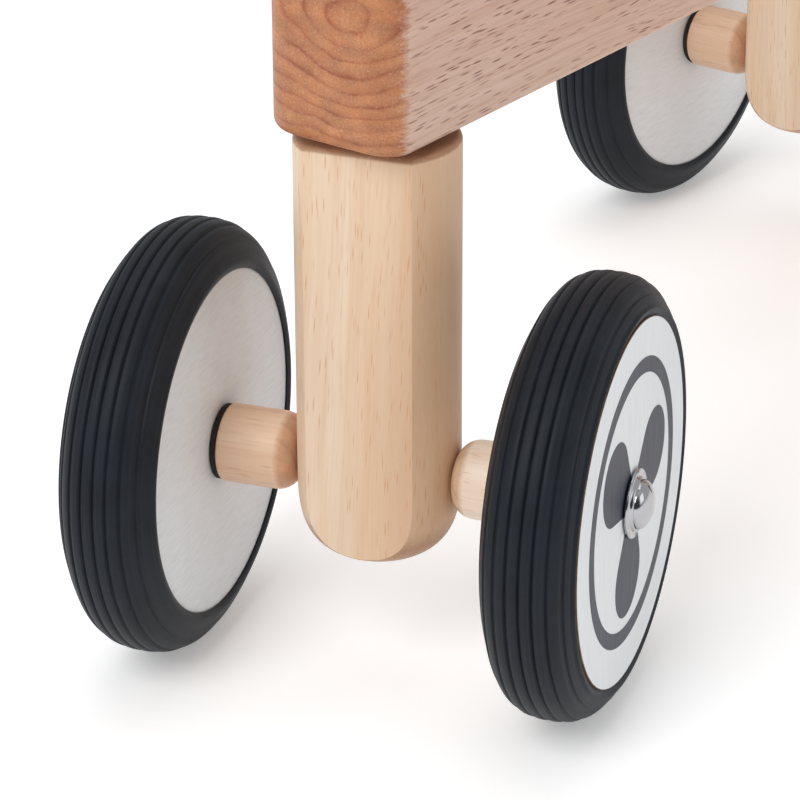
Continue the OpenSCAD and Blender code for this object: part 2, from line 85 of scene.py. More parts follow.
leg_x = middle("rear_leg_left").x
post_r = size("rear_leg_left").x / 2
flat_y = rear_y - low("rear_leg_left").y
post_top = high("front_post").z - axle_z
post_end = axle_z - low("front_post").z
leg_top = low("rear_crosspiece").z - axle_z
head_end = high("handlebar_head").z
head_start = low("handlebar_head").z
bar_z = middle("handlebar").z
bar_r = size("handlebar").z / 2
stem_r = size("steering_stem").x / 2

tyre_r = size("rear_left_tyre").z / 2
tyre_w = size("rear_left_tyre").x
disc_r = size("rear_left_disc").z / 2
disc_t = size("rear_left_disc").x
spacer_r = size("rear_spacer_left").z / 2
washer_r = size("rear_washer_left").z / 2
cap_r = size("rear_axle_cap_left").z / 2
axle_r = size("rear_axle").z / 2


def along_bar(node):
    """Length of a round bar that lies along the turned handlebar."""
    across = size(node).z
    return (size(node).x - across * math.sin(steer_angle)) / math.cos(steer_angle)


ROW = Matrix.Identity(4)
FORK = Matrix.Translation(Vector((0, steer_y, 0)) * MM) @ Matrix.Rotation(steer_angle, 4, "Z")
FRONT_AXLE = FORK @ Matrix.Translation((0, 0, axle_z * MM))
REAR_AXLE = Matrix.Translation(Vector((0, rear_y, axle_z)) * MM)


def facing(axle, side, x):
    """A frame on an axle whose +X points out of the bike, x away from the bike's middle."""
    turn = Matrix.Rotation(0 if side > 0 else math.pi, 4, "Z")
    return axle @ turn @ Matrix.Translation((x * MM, 0, 0))


# ---- Shader graphs ----

def tint(red, green, blue):
    """An sRGB colour, 0 to 255, as a linear one."""
    def linear(c):
        c /= 255
        return c / 12.92 if c <= 0.04045 else ((c + 0.055) / 1.055) ** 2.4
    return (linear(red), linear(green), linear(blue), 1.0)


OBJECT_PLACE, OBJECT_NORMAL = 3, 1
COLOUR_A, COLOUR_B, COLOUR_OUT = 6, 7, 2


class Graph:
    """A material's node graph around one Principled shader."""

    def __init__(self, name):
        self.material = bpy.data.materials.new(name)
        self.material.use_nodes = True
        self.tree = self.material.node_tree
        self.shader = self.tree.nodes["Principled BSDF"]

    def node(self, kind, *values, out=0, **settings):
        """Adds a node, feeds its first inputs and returns one of its outputs."""
        made = self.tree.nodes.new("ShaderNode" + kind)
        for key, value in settings.items():
            setattr(made, key, value)
        for socket, value in zip(made.inputs, values):
            self.feed(socket, value)
        return made.outputs[out]

    def feed(self, socket, value):
        """Links a socket to another node's output, or sets its value. None leaves it alone."""
        if isinstance(value, bpy.types.NodeSocket):
            self.tree.links.new(value, socket)
        elif value is not None:
            socket.default_value = value

    def set(self, **values):
        """Feeds the shader's inputs, named with _ for a space, and returns the material."""
        for key, value in values.items():
            self.feed(self.shader.inputs[key.replace("_", " ")], value)
        return self.material

    def math(self, operation, a, b=0.5, c=0.5):
        return self.node("Math", a, b, c, operation=operation)

    def mapped(self, value, from_low, from_high, to_low=0.0, to_high=1.0):
        return self.node("MapRange", value, from_low, from_high, to_low, to_high)

    def noise(self, place, scale=1.0, detail=2.0, rough=0.5):
        return self.node("TexNoise", place, None, scale, detail, rough)

    def stretch(self, place, x, y, z):
        return self.node("VectorMath", place, (x, y, z), operation="MULTIPLY")

    def mix(self, share, a, b, blend="MIX"):
        made = self.tree.nodes.new("ShaderNodeMix")
        made.data_type = "RGBA"
        made.blend_type = blend
        self.feed(made.inputs["Factor"], share)
        self.feed(made.inputs[COLOUR_A], a)
        self.feed(made.inputs[COLOUR_B], b)
        return made.outputs[COLOUR_OUT]

    def cells(self, place, scale=1.0, feature="F1"):
        """A Voronoi node, for its distance and its colour."""
        made = self.tree.nodes.new("ShaderNodeTexVoronoi")
        made.feature = feature
        self.feed(made.inputs["Vector"], place)
        made.inputs["Scale"].default_value = scale
        return made

    def ramp(self, share, *stops):
        """A colour ramp through stops of (place, grey level)."""
        made = self.tree.nodes.new("ShaderNodeValToRGB")
        self.feed(made.inputs[0], share)
        while len(made.color_ramp.elements) < len(stops):
            made.color_ramp.elements.new(1)
        for element, (position, value) in zip(made.color_ramp.elements, stops):
            element.position = position
            element.color = (value, value, value, 1)
        return made.outputs[0]

    def bump(self, height, strength, distance_mm):
        """Roughens the shader's normal by a height."""
        made = self.tree.nodes.new("ShaderNodeBump")
        made.inputs["Strength"].default_value = strength
        made.inputs["Distance"].default_value = distance_mm * MM
        self.feed(made.inputs["Height"], height)
        self.feed(self.shader.inputs["Normal"], made.outputs[0])

    def place_mm(self, turn=(0, 0, 0), shift=(0, 0, 0)):
        """The piece's own coordinates in millimetres, turned so that the grain runs along Z."""
        coords = self.node("TexCoord", out=OBJECT_PLACE)
        return self.node("Mapping", coords, shift, turn, (1 / MM, 1 / MM, 1 / MM))


# ---- Materials ----

GRAIN_TURNS = {"x": (0, math.pi / 2, 0), "y": (math.pi / 2, 0, 0), "z": (0, 0, 0)}
GRAIN_AXES = {"x": 0, "y": 1, "z": 2}


def grain_places(g, grain, seed, lean, wobble):
    """Coordinates along the grain: straight ones, ones that wander, and wandering ones for the rings."""
    turn = GRAIN_TURNS[grain]
    leaning = (turn[0], turn[1] + math.radians(lean), turn[2])
    place = g.place_mm(leaning, (seed * 3.1, seed * 1.7, seed * 37.0))
    drift = g.node("TexNoise", g.stretch(place, 0.035, 0.035, 0.006), None, 1.0, 2.0, 0.5, out=1)
    centred = g.node("VectorMath", drift, (0.5, 0.5, 0.5), operation="SUBTRACT")
    wander = g.node("VectorMath", centred, (wobble, wobble, 4.0), operation="MULTIPLY")
    bent = g.node("VectorMath", place, wander, operation="ADD")
    heart = g.node("VectorMath", g.place_mm(turn), wander, operation="ADD")
    return place, bent, heart


def growth_rings(g, bent, heart, pith, gap, squash):
    """Rings round the pith: each year darkens slowly and ends sharply."""
    from_pith = g.node("VectorMath", heart, (-pith[0], -pith[1], 0), operation="ADD")
    flat = g.stretch(from_pith, squash, 1.0, 0.0)
    radius = g.node("VectorMath", flat, operation="LENGTH", out=1)
    year = g.math("FRACT", g.math("DIVIDE", radius, gap))
    late = g.ramp(year, (0.0, 0.5), (0.1, 0.12), (0.4, 0.04), (0.75, 0.35), (0.93, 1.0), (1.0, 0.6))
    uneven = g.noise(g.stretch(bent, 0.12, 0.12, 0.01), 1.0, 2.0)
    return g.math("MULTIPLY", late, g.mapped(uneven, 0.3, 0.62, 0.25, 1.0))


def pores(g, bent, gap, length, width, keep):
    """Short pores along the grain, a share of them kept, gathered in clumps."""
    cell = g.cells(g.stretch(bent, 1 / gap, 1 / gap, 1 / length))
    kept = g.math("LESS_THAN", g.node("SeparateColor", cell.outputs["Color"]), keep)
    hole = g.mapped(cell.outputs["Distance"], width, width * 0.45)
    clumps = g.mapped(g.noise(g.stretch(bent, 0.10, 0.10, 0.012), 1.0, 2.0), 0.38, 0.60, 0.12, 1.0)
    return g.math("MULTIPLY", g.math("MULTIPLY", hole, kept), clumps)


def facing_along(g, bent, grain, ragged):
    """1 where the surface faces along the grain, 0 at its sides, with a ragged change between."""
    normal = g.node("TexCoord", out=OBJECT_NORMAL)
    along = g.math("ABSOLUTE", g.node("SeparateXYZ", normal, out=GRAIN_AXES[grain]))
    flames = g.noise(g.stretch(bent, 1.1, 1.1, 0.16), 1.0, 3.0, 0.6)
    start = 0.2 - ragged * 0.6
    return g.mapped(g.math("MULTIPLY_ADD", flames, -ragged, along), start, start + 0.28)


def sawn_end(g, place, colour, end_grain, light):
    """The colour of an end cut: darker, blotched and dotted."""
    dots = g.mapped(g.noise(place, 1.7, 2.0, 0.7), 0.55, 0.72, 0.0, 0.3)
    blotch = g.mapped(g.noise(g.stretch(place, 0.13, 0.2, 0.01), 1.0, 3.0), 0.35, 0.65, 0.75, 1.0)
    cut = g.mix(1.0, g.mix(1.0, colour, end_grain, "MULTIPLY"), blotch, "MULTIPLY")
    return g.mix(dots, cut, light)


def wood(name, grain, seed, light, middle_tone, dark, ring, fleck, end_grain,
         ring_gap=5.0, ring_share=0.5, side_rings=0.4, ring_squash=1.0, pith=(14.0, -30.0), wobble=9.0,
         fleck_gap=0.8, fleck_length=12.0, fleck_width=0.26, fleck_share=0.6, fleck_keep=0.95,
         heart_share=0.0, streak_share=0.4, end_depth=0.7, lean=0.0, ragged=0.12):
    """Solid wood: growth rings round a pith, long streaks, pores, and a darker end grain."""
    g = Graph(name)
    place, bent, heart = grain_places(g, grain, seed, lean, wobble)
    rings = growth_rings(g, bent, heart, pith, ring_gap, ring_squash)
    flecks = pores(g, bent, fleck_gap, fleck_length, fleck_width, fleck_keep)
    facing_end = facing_along(g, bent, grain, ragged)
    bands = g.noise(g.stretch(bent, 0.16, 0.16, 0.004), 1.0, 3.0, 0.55)
    streaks = g.noise(g.stretch(bent, 1.5, 1.5, 0.03), 1.0, 4.0, 0.6)
    hair = g.noise(g.stretch(bent, 4.2, 4.2, 0.09), 1.0, 2.0, 0.5)
    heart_side = g.node("SeparateXYZ", bent, out=0)
    colour = g.mix(g.mapped(bands, 0.32, 0.68), light, middle_tone)
    colour = g.mix(g.mapped(heart_side, 7.0, 18.0, 0.0, heart_share), colour, dark)
    colour = g.mix(g.mapped(streaks, 0.48, 0.78, 0.0, streak_share), colour, dark)
    colour = g.mix(g.mapped(hair, 0.35, 0.75, 0.0, 0.22), colour, middle_tone)
    ring_depth = g.mapped(facing_end, 0, 1, ring_share * side_rings, ring_share)
    colour = g.mix(g.math("MULTIPLY", rings, ring_depth), colour, ring)
    fleck_depth = g.mapped(facing_end, 0, 1, fleck_share, fleck_share * 0.3)
    colour = g.mix(g.math("MULTIPLY", flecks, fleck_depth), colour, fleck)
    cut = sawn_end(g, place, colour, end_grain, light)
    colour = g.mix(g.math("MULTIPLY", facing_end, end_depth), colour, cut)
    g.bump(g.math("MULTIPLY_ADD", flecks, -0.4, g.math("MULTIPLY", streaks, 0.35)), 0.3, 0.10)
    return g.set(Base_Color=colour, Roughness=g.mapped(streaks, 0.2, 0.8, 0.40, 0.58), Coat_Weight=0.12,
                 Coat_Roughness=0.32)


# Four woods, then the coarse pores of the red one
# The pale wood's end grain is really darker. Its tone was also made deeper to stand in for the shade on the
# front post's top under the beam, so it is partly painted shade.
PALE = dict(light=tint(238, 215, 190), middle_tone=tint(228, 194, 160), dark=tint(206, 163, 126),
            ring=tint(206, 160, 122), fleck=tint(198, 120, 68), end_grain=tint(188, 148, 116))
CREAM = dict(light=tint(240, 224, 206), middle_tone=tint(232, 210, 188), dark=tint(212, 178, 148),
             ring=tint(210, 172, 138), fleck=tint(196, 140, 100), end_grain=tint(218, 190, 164))
PEACH = dict(light=tint(236, 204, 176), middle_tone=tint(228, 190, 158), dark=tint(200, 152, 116),
             ring=tint(196, 146, 110), fleck=tint(178, 116, 80), end_grain=tint(230, 198, 170))
RED = dict(light=tint(220, 187, 168), middle_tone=tint(207, 167, 144), dark=tint(178, 126, 98),
           ring=tint(160, 82, 40), fleck=tint(118, 50, 22), end_grain=tint(232, 178, 116))
RED_FLECKS = dict(fleck_gap=0.85, fleck_length=9.0, fleck_width=0.36, fleck_share=0.95, fleck_keep=0.9,
                  streak_share=0.7, ragged=0.7)


def painted_wood(name, paint, grain_tint, specks):
    """Thin paint over plywood: the veneer's fine lines still show, upright outside and level inside."""
    g = Graph(name)
    place = g.place_mm()
    upright = g.noise(g.stretch(place, 1.0, 3.0, 0.06), 1.0, 3.0, 0.6)
    level = g.noise(g.stretch(place, 1.0, 0.12, 2.0), 1.0, 3.0, 0.6)
    outside = g.math("GREATER_THAN", g.node("SeparateXYZ", place, out=0), 0.0)
    lines = g.node("Mix", outside, None, level, upright)
    cloud = g.noise(place, 0.03, 2.0)
    speck = g.noise(g.stretch(place, 1.0, 1.4, 0.35), 1.0, 2.0, 0.7)
    colour = g.mix(g.mapped(lines, 0.45, 0.8, 0.0, 0.5), paint, grain_tint)
    colour = g.mix(g.mapped(speck, 0.62, 0.74, 0.0, specks), colour, grain_tint)
    colour = g.mix(g.mapped(cloud, 0.3, 0.7, 0.0, 0.12), colour, grain_tint)
    g.bump(lines, 0.3, 0.08)
    return g.set(Base_Color=colour, Roughness=g.mapped(lines, 0.3, 0.7, 0.42, 0.55), Specular_IOR_Level=0.4)


def cut_plywood(name):
    """The laser-cut edge of the disc: brown plies."""
    g = Graph(name)
    place = g.place_mm()
    ply = g.node("TexWave", place, 0.33, 0.6, 2.0, bands_direction="X")
    burn = g.noise(place, 0.25, 3.0)
    colour = g.mix(ply, tint(120, 88, 64), tint(160, 124, 94))
    colour = g.mix(g.mapped(burn, 0.35, 0.7, 0.0, 0.6), colour, tint(84, 60, 44))
    g.bump(ply, 0.2, 0.1)
    return g.set(Base_Color=colour, Roughness=0.7)


def rubber(name, base, worn_and_highlight, roughness, grit, relief_and_painted_highlight=0.0):
    """Matt rubber with a faint bloom, a fine tooth and, round a tyre, fine raised lines painted in a lighter
    tone as highlights.
    """
    g = Graph(name)
    place = g.place_mm()
    bloom = g.noise(place, 0.06, 4.0, 0.6)
    scuff = g.noise(g.stretch(place, 0.9, 0.2, 0.2), 1.0, 3.0, 0.6)
    tooth = g.noise(place, 3.0, 3.0, 0.6)
    radius = g.node("VectorMath", g.stretch(place, 0.0, 1.0, 1.0), operation="LENGTH", out=1)
    round_axle = g.node("CombineXYZ", g.node("SeparateXYZ", place, out=0), radius, 0.0)
    lines = g.noise(round_axle, 1.6, 3.0, 0.6)
    colour = g.mix(g.mapped(bloom, 0.35, 0.7, 0.0, 0.7), base, worn_and_highlight)
    colour = g.mix(g.mapped(scuff, 0.6, 0.8, 0.0, 0.4), colour, worn_and_highlight)
    # Round a tyre the fine lines are painted in the lighter tone: painted highlights standing in for the
    # light caught by the tread's groove edges.
    colour = g.mix(g.mapped(lines, 0.5, 0.7, 0.0, 0.8 * relief_and_painted_highlight), colour, worn_and_highlight)
    g.bump(g.math("MULTIPLY_ADD", lines, relief_and_painted_highlight, g.math("MULTIPLY", tooth, grit)), 0.6, 0.14)
    return g.set(Base_Color=colour, Roughness=g.mapped(bloom, 0.3, 0.7, roughness, roughness + 0.1),
                 Specular_IOR_Level=0.18)


def metal(name, base, roughness, wear):
    """Steel with fine scratches and a slight cloudiness."""
    g = Graph(name)
    place = g.place_mm()
    cloud = g.noise(place, 0.3, 3.0)
    scratch = g.noise(g.stretch(place, 1.0, 9.0, 9.0), 1.0, 2.0, 0.7)
    colour = g.mix(g.mapped(cloud, 0.35, 0.7, 0.0, wear), base, tint(150, 148, 146))
    rough = g.mapped(scratch, 0.3, 0.75, roughness, roughness * 1.7)
    g.bump(scratch, 0.05, 0.02)
    return g.set(Base_Color=colour, Metallic=1.0, Roughness=rough)


def nylon(name):
    """Off-white moulded nylon."""
    g = Graph(name)
    cloud = g.noise(g.place_mm(), 0.5, 3.0)
    colour = g.mix(g.mapped(cloud, 0.3, 0.7), tint(232, 230, 222), tint(214, 210, 200))
    g.bump(cloud, 0.1, 0.05)
    return g.set(Base_Color=colour, Roughness=g.mapped(cloud, 0.3, 0.7, 0.38, 0.5), Subsurface_Weight=0.1)


def leather(name, base, crease_shade_and_mottle, pebble_mm=1.1):
    """Soft artificial leather with a pebbled grain, with shade painted into the grain's creases."""
    g = Graph(name)
    place = g.place_mm()
    jitter = g.node("TexNoise", place, None, 0.8, 2.0, out=1)
    jittered = g.node("VectorMath", place, jitter, operation="ADD")
    pebble = g.cells(jittered, 1 / pebble_mm, "DISTANCE_TO_EDGE")
    relief = g.mapped(pebble.outputs["Distance"], 0.0, 0.22)
    broad = g.noise(place, 0.05, 3.0)
    # The valleys between the pebbles take the dark colour: painted shade in the creases. The broad mottle
    # below uses the same colour as a real uneven tone.
    colour = g.mix(relief, crease_shade_and_mottle, base)
    colour = g.mix(g.mapped(broad, 0.3, 0.7, 0.0, 0.35), colour, crease_shade_and_mottle)
    g.bump(relief, 0.45, 0.12)
    return g.set(Base_Color=colour, Roughness=g.mapped(relief, 0.0, 1.0, 0.62, 0.46), Sheen_Weight=0.15)


def thread(name):
    """Waxed stitching thread with a twist, its grooves painted darker as shade."""
    g = Graph(name)
    twist = g.node("TexWave", g.place_mm(), 1.2, 0.4, 1.0, bands_direction="DIAGONAL")
    # The twist's grooves take the darker colour: painted shade between the plies.
    colour = g.mix(twist, tint(170, 164, 152), tint(206, 200, 188))
    g.bump(twist, 0.4, 0.1)
    return g.set(Base_Color=colour, Roughness=0.8)


def floor_paint(name):
    """The pale studio floor."""
    g = Graph(name)
    cloud = g.noise(g.place_mm(), 0.004, 2.0)
    return g.set(Base_Color=g.mix(cloud, (0.93, 0.93, 0.93, 1), (0.96, 0.96, 0.96, 1)), Roughness=0.7,
                 Specular_IOR_Level=0.1, Emission_Color=(1, 1, 1, 1), Emission_Strength=0.30)


# ---- Meshes ----

def solid(points, faces):
    """A bmesh in millimetres from points and faces."""
    bm = bmesh.new()
    made = [bm.verts.new(p) for p in points]
    for face in faces:
        bm.faces.new([made[i] for i in face])
    return bm


def revolve(outline, axis="x", turns=TURNS, hollow=False):
    """Turns an outline of (place along the axis, radius): a solid with ends, or a closed tube."""
    points, rings = [], []
    for a, r in outline:
        ring = []
        for i in range(turns if r > 1e-6 else 1):
            t = 2 * math.pi * i / turns
            c, s = r * math.cos(t), r * math.sin(t)
            points.append((a, c, s) if axis == "x" else (c, s, a))
            ring.append(len(points) - 1)
        rings.append(ring)
    pairs = list(zip(rings, rings[1:])) + ([(rings[-1], rings[0])] if hollow else [])
    faces = [] if hollow else [tuple(ring) for ring in (rings[0], rings[-1]) if len(ring) > 1]
    for a, b in pairs:
        for i in range(turns):
            j = (i + 1) % turns
            if len(a) == 1 and len(b) > 1:
                faces.append((a[0], b[j], b[i]))
            elif len(b) == 1 and len(a) > 1:
                faces.append((a[i], a[j], b[0]))
            elif len(a) > 1:
                faces.append((a[i], a[j], b[j], b[i]))
    return solid(points, faces)


def loft(rings):
    """Joins rings of the same number of points, and closes both ends."""
    n = len(rings[0])
    points = [p for ring in rings for p in ring]
    faces = [tuple(range(n))[::-1], tuple(range(len(points) - n, len(points)))]
    for k in range(len(rings) - 1):
        for i in range(n):
            j = (i + 1) % n
            faces.append((k * n + i, k * n + j, (k + 1) * n + j, (k + 1) * n + i))
    return solid(points, faces)


def arc(centre, r, start, end, steps=6):
    """Points of an arc about a centre, from start to end in degrees."""
    angles = [math.radians(start + (end - start) * i / steps) for i in range(steps + 1)]
    return [(centre[0] + r * math.cos(t), centre[1] + r * math.sin(t)) for t in angles]


def finish(name, bm, place, materials):
    """Turns a bmesh in millimetres into an object in metres at its place."""
    bmesh.ops.remove_doubles(bm, verts=bm.verts, dist=1e-4)
    bmesh.ops.recalc_face_normals(bm, faces=bm.faces)
    if bm.calc_volume(signed=True) < 0:
        bmesh.ops.reverse_faces(bm, faces=bm.faces)
    bmesh.ops.scale(bm, vec=(MM, MM, MM), verts=bm.verts)
    mesh = bpy.data.meshes.new(name)
    bm.to_mesh(mesh)
    bm.free()
    made = bpy.data.objects.new(name, mesh)
    bpy.context.scene.collection.objects.link(made)
    made.matrix_world = place
    for material in materials:
        mesh.materials.append(material)
    shade(mesh)
    return made


def shade(mesh):
    """Smooth shading with crisp corners."""
    mesh.shade_smooth()
    mesh.set_sharp_from_angle(angle=SMOOTH_ANGLE)


def piece(name, bm, place, body, materials, stands_for=()):
    """A finished piece that rides a body."""
    made = finish(name, bm, place, materials if isinstance(materials, list) else [materials])
    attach(made, body)
    if stands_for:
        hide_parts(*stands_for)
    return made


def settle(obj):
    """Applies an object's modifiers to its mesh."""
    graph = bpy.context.evaluated_depsgraph_get()
    mesh = bpy.data.meshes.new_from_object(obj.evaluated_get(graph))
    obj.modifiers.clear()
    obj.data = mesh
    shade(mesh)


def carve(obj, *cutters):
    """Cuts solids, given as bmeshes in the object's own millimetres, out of an object."""
    tools = [finish("cutter", bm, obj.matrix_world, []) for bm in cutters]
    for tool in tools:
        cut = obj.modifiers.new("cut", "BOOLEAN")
        cut.operation = "DIFFERENCE"
        cut.solver = "EXACT"
        cut.object = tool
    settle(obj)
    for tool in tools:
        bpy.data.objects.remove(tool)


def drill(start, direction, r, length, turns=48):
    """A cylinder to cut with, from a start point along a direction."""
    bm = revolve([(0, r), (length, r)], "z", turns)
    turn = Vector((0, 0, 1)).rotation_difference(Vector(direction)).to_matrix().to_4x4()
    bmesh.ops.transform(bm, matrix=Matrix.Translation(start) @ turn, verts=bm.verts)
    return bm


def bevel(bm, edges, width, steps):
    """Rounds edges."""
    bmesh.ops.bevel(bm, geom=edges, offset=width, offset_type="OFFSET", segments=steps, profile=0.5,
                    affect="EDGES", clamp_overlap=True)


def merge(bm, other):
    """Adds a bmesh to another one, and frees it."""
    part = bpy.data.meshes.new("part")
    other.to_mesh(part)
    other.free()
    bm.from_mesh(part)
    bpy.data.meshes.remove(part)


def quarter(steps):
    """Angles from 0 to a quarter turn."""
    return [math.pi / 2 * i / steps for i in range(steps + 1)]


def eased_levels(bottom, top, edge, steps):
    """Heights and insets of a slab's outline, from its bottom to its top, with round edges."""
    rises = [(edge * (1 - math.sin(t)), edge * (1 - math.cos(t))) for t in quarter(steps)]
    lower = [(bottom + rise, inset) for rise, inset in reversed(rises)]
    return lower + [(top - rise, inset) for rise, inset in rises]


# ---- Posts ----

DOME_H = 26.0
DOME_POWER = 3.2
FLAT_BEVEL = 0.9
NEAR = 0.01
HOLE_CLEAR = 0.1


def dome_outline(end, steps=22):
    """Half outline of a post's round end, from its tip to the shaft: a squared-off quarter ellipse."""
    points = [(-end, 0)]
    for t in quarter(steps)[-2::-1]:
        drop = DOME_H * math.sin(t) ** (2 / DOME_POWER)
        points.append((DOME_H - end - drop, post_r * math.cos(t) ** (2 / DOME_POWER)))
    return points


def cut_flat(bm):
    """Cuts a post's flat and closes it."""
    cut = bmesh.ops.bisect_plane(bm, geom=bm.verts[:] + bm.edges[:] + bm.faces[:],
                                 plane_co=(0, -flat_y, 0), plane_no=(0, -1, 0), clear_outer=True)
    rim = [e for e in cut["geom_cut"] if isinstance(e, bmesh.types.BMEdge)]
    bmesh.ops.holes_fill(bm, edges=rim, sides=0)
    bm.edges.ensure_lookup_table()


def post_mesh(top, end, edge=1.8):
    """A turned post with a domed lower end and a flat at its front. z = 0 is the axle."""
    sides = [(share * top, post_r) for share in (0.25, 0.5, 0.75, 1)]
    bm = revolve(dome_outline(end) + sides, "z")
    cut_flat(bm)
    top_rim = [e for e in bm.edges if all(abs(v.co.z - top) < NEAR for v in e.verts) and is_corner(e)]
    bevel(bm, top_rim, edge, 7)
    flat_rim = [e for e in bm.edges if is_flat_rim(e, top - edge)]
    bevel(bm, flat_rim, FLAT_BEVEL, 3)
    return bm


def is_corner(edge, least=math.radians(14)):
    """True where two faces meet at an angle."""
    return len(edge.link_faces) == 2 and edge.calc_face_angle(0) > least


def is_flat_rim(edge, top):
    """True for a corner beside the flat, below the rounded top."""
    heights = [v.co.z for v in edge.verts]
    beside = min(v.co.y for v in edge.verts) < -flat_y + NEAR
    return is_corner(edge) and beside and max(heights) < top + 0.05 and min(heights) < top


def front_post(material, stem_depth=40, past=10, groove_clear=0.3):
    """The front post, with the stem's hole and the stop pin's groove in its top."""
    made = piece("front_post_body", post_mesh(post_top, post_end), FRONT_AXLE, "fork", material,
                 ["front_post"])
    pin_r = size("steering_stop_pin").x / 2
    pin_ring = middle("steering_stop_pin").y - steer_y
    groove_depth = post_top + axle_z - low("steering_stop_pin").z + 1
    hole = drill((0, 0, post_top - stem_depth), (0, 0, 1), stem_r + HOLE_CLEAR, stem_depth + past)
    carve(made, hole, stop_groove(pin_ring, pin_r + groove_clear, groove_depth))


def stop_groove(ring, half, depth, steps=40, past=2):
    """The arc that the stop pin runs in, as a solid to cut with."""
    reach = steer_limit + half / ring
    angles = [math.pi / 2 + reach * (2 * i / steps - 1) for i in range(steps + 1)]
    outline = [((ring + half) * math.cos(t), (ring + half) * math.sin(t)) for t in angles]
    outline += [((ring - half) * math.cos(t), (ring - half) * math.sin(t)) for t in reversed(angles)]
    return loft([[(x, y, z) for x, y in outline] for z in (post_top - depth, post_top + past)])


def rear_leg(name, side, material, edge=0.6):
    """A rear leg: the same post, nearly square where it meets the crosspiece."""
    place = REAR_AXLE @ Matrix.Translation((side * leg_x * MM, 0, 0))
    piece(f"rear_leg_{name}_body", post_mesh(leg_top, post_end, edge), place, "frame", material,
          [f"rear_leg_{name}"])


def handlebar_head(material, stem_depth=39, past=1, screw_r=4.3, screw_depth=5):
    """The same turned post, upside down, with its plain end just above the beam."""
    height = head_end - head_start
    bm = post_mesh(height, 0)
    bmesh.ops.transform(bm, matrix=Matrix.Diagonal((1, 1, -1, 1)), verts=bm.verts)
    bmesh.ops.reverse_faces(bm, faces=bm.faces)
    place = FORK @ Matrix.Translation((0, 0, head_end * MM))
    made = piece("handlebar_head_body", bm, place, "fork", material, ["handlebar_head"])
    drop = bar_z - head_end
    bar_hole = drill((-2 * post_r, 0, drop), (1, 0, 0), bar_r + HOLE_CLEAR / 2, 4 * post_r, 96)
    screw_hole = drill((0, post_r - 1, drop), (0, 1, 0), screw_r, screw_depth)
    stem_bore = drill((0, 0, -height - past), (0, 0, 1), stem_r + HOLE_CLEAR, stem_depth + past)
    carve(made, bar_hole, screw_hole, stem_bore)


# ---- Beam and crosspiece ----

def beam_plan(lo, hi, corner, steps=14):
    """Points round the beam seen from above, each with its way outward, from the back right corner."""
    halfway = (lo.y + hi.y) / 2
    plan = [((lo.x, hi.y), (-1, 0)), ((lo.x, halfway), (-1, 0))]
    for side in (-1, 1):
        centre = (hi.x - corner) * side
        for turn in quarter(steps)[::side]:
            way = (side * math.sin(turn), -math.cos(turn))
            plan.append(((centre + corner * way[0], lo.y + corner + corner * way[1]), way))
    return plan + [((hi.x, halfway), (1, 0)), ((hi.x, hi.y), (1, 0))]


def beam_mesh(lo, hi, corner=12.0, nose_edge=7.4, edge=3.2, steps=8):
    """A beam with a round nose: the edge radius grows from the sides to the front."""
    plan = beam_plan(lo, hi, corner)

    def ring(end, level, turn):
        points = []
        for (x, y), (side, front) in plan:
            r = edge * side * side + nose_edge * front * front
            inset = r * (1 - math.cos(turn))
            points.append((x - side * inset, y - front * inset, end + level * r * (1 - math.sin(turn))))
        return points

    turns = quarter(steps)
    return loft([ring(lo.z, 1, t) for t in reversed(turns)] + [ring(hi.z, -1, t) for t in turns])


def stem_hole(lo, hi, bush_r=9.1, bush_len=18, waist_r=7):
    """The stem's hole through the beam, wider at both ends for the bushes, as a solid to cut with."""
    outline = [(lo.z - 1, bush_r), (lo.z + bush_len, bush_r), (lo.z + bush_len, waist_r)]
    outline += [(hi.z - bush_len, waist_r), (hi.z - bush_len, bush_r), (hi.z + 1, bush_r)]
    bm = revolve(outline, "z", 64)
    bmesh.ops.translate(bm, vec=(0, steer_y, 0), verts=bm.verts)
    return bm


def plug_places():
    """The plugs' place along the beam, their radius and their heights."""
    y, r = middle("barrel_nut_plugs").y, size("barrel_nut_plugs").y / 2
    return y, r, [low("barrel_nut_plugs").z + r, high("barrel_nut_plugs").z - r]


def main_beam(material, plug_depth=8, plug_clear=0.12, bolt_head_t=4, bolt_clear=1):
    """A rounded beam with counterbores below and plug holes at one side."""
    lo, hi = low("main_beam"), high("main_beam")
    made = piece("main_beam_body", beam_mesh(lo, hi), ROW, "frame", material, ["main_beam"])
    y, r, zs = plug_places()
    plug_holes = [drill((lo.x - 1, y, z), (1, 0, 0), r + plug_clear, plug_depth) for z in zs]
    head_r = size("seat_bolts").x / 2
    sink = low("seat_bolts").z + bolt_head_t - lo.z + 1
    bolt_ys = [low("seat_bolts").y + head_r, high("seat_bolts").y - head_r]
    bolt_holes = [drill((0, y, lo.z - 1), (0, 0, 1), head_r + bolt_clear, sink) for y in bolt_ys]
    carve(made, stem_hole(lo, hi), *plug_holes, *bolt_holes)


def plugs(material, depth=6, edge=0.6, dome=0.85, proud=0.5):
    """Two wooden plugs, slightly domed, over the barrel nuts."""
    y, r, zs = plug_places()
    outline = [(0, 0), (0, r), (depth, r)] + arc((depth, r - edge), edge, 90, 20, 3)[1:]
    outline += [(depth + dome - 0.1, r * 0.5), (depth + dome, 0)]
    for k, z in enumerate(zs):
        place = Matrix.Translation(Vector((low("main_beam").x + depth + proud, y, z)) * MM)
        made = piece(f"barrel_nut_plug_{k + 1}", revolve(outline, "x", 48),
                     place @ Matrix.Rotation(math.pi, 4, "Z"), "frame", material)
        if k == 0:
            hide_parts("barrel_nut_plugs")


def stadium(half_length, r, z, centre_y, steps=24):
    """A ring of a stadium at a height: straight sides and half-round ends."""
    right = [(half_length + r * math.cos(t), centre_y + r * math.sin(t), z)
             for t in [math.pi * (i / steps - 0.5) for i in range(steps + 1)]]
    left = [(-x, 2 * centre_y - y, z) for x, y, _ in right]
    return right + left


